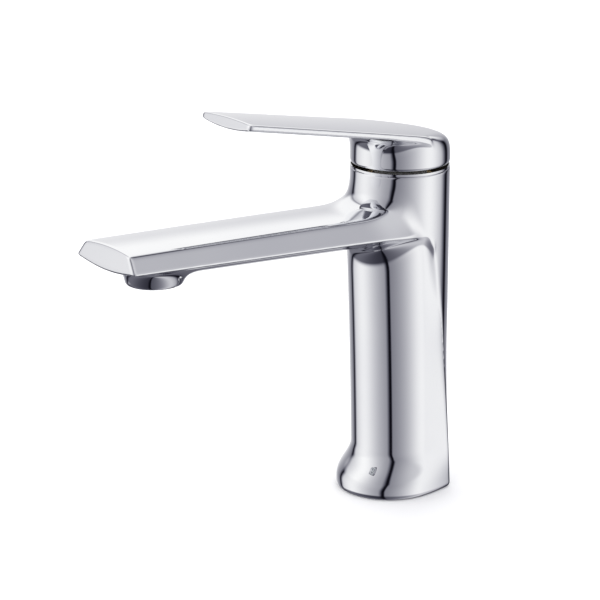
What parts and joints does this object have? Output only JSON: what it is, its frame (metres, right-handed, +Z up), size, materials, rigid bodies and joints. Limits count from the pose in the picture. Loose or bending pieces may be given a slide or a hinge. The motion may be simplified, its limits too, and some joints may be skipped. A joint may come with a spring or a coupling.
{
  "type": "basin mixer faucet",
  "caption": "Single-lever basin mixer with a straight column on a flared foot, a long flat spout and a paddle lever above it, all chrome plated.",
  "frame": {"origin": "centre of the deck hole, where the axis of the upper column meets the deck plane", "axes": "+Z up the column, -Y along the spout and the lever towards the user, +X to the user's right, which is the cold side"},
  "size_m": [0.0508, 0.1903, 0.1956],
  "materials": {
    "chrome": "polished chrome plate",
    "brass": "turned brass",
    "steel": "stainless steel",
    "rubber": "matt black EPDM",
    "cartridge_plastic": "moulded, light grey",
    "aerator_plastic": "moulded, mid grey",
    "ceramic": "lapped alumina"
  },
  "bodies": {
    "body": {"body_casting": "chrome", "base_gasket": "rubber", "trim_ring": "chrome", "cartridge_nut": "brass", "cartridge_housing": "cartridge_plastic", "housing_o_ring": "rubber", "cartridge_base": "cartridge_plastic", "inlet_seals": "rubber", "disc_seals": "rubber", "fixed_disc": "ceramic", "aerator_housing": "aerator_plastic", "aerator_insert": "aerator_plastic", "aerator_screen": "steel", "aerator_seal": "rubber"},
    "turntable": {"cartridge_rotor": "cartridge_plastic", "lever_pin": "steel"},
    "lever": {"lever_stem": "brass", "handle": "chrome", "handle_insert": "brass", "set_screw": "steel", "index_plug": "chrome"},
    "disc_slider": {"disc_carrier": "cartridge_plastic", "moving_disc": "ceramic"}
  },
  "joints": [
    {"name": "temperature_turn", "type": "hinge", "parent": "body", "child": "turntable", "pos_m": [0, 0, 0.1665], "axis": [0, 0, 1], "range_deg": [-45, 45]},
    {"name": "flow_lift", "type": "hinge", "parent": "turntable", "child": "lever", "pos_m": [0, 0, 0.1665], "axis": [-1, 0, 0], "range_deg": [0, 20]},
    {"name": "disc_slide", "type": "slide", "parent": "turntable", "child": "disc_slider", "axis": [0, -1, 0], "range_m": [0, 0.0053]}
  ],
  "couplings": [
    {"joint": "disc_slide", "follows": "flow_lift", "m_per_rad": 0.0148}
  ]
}
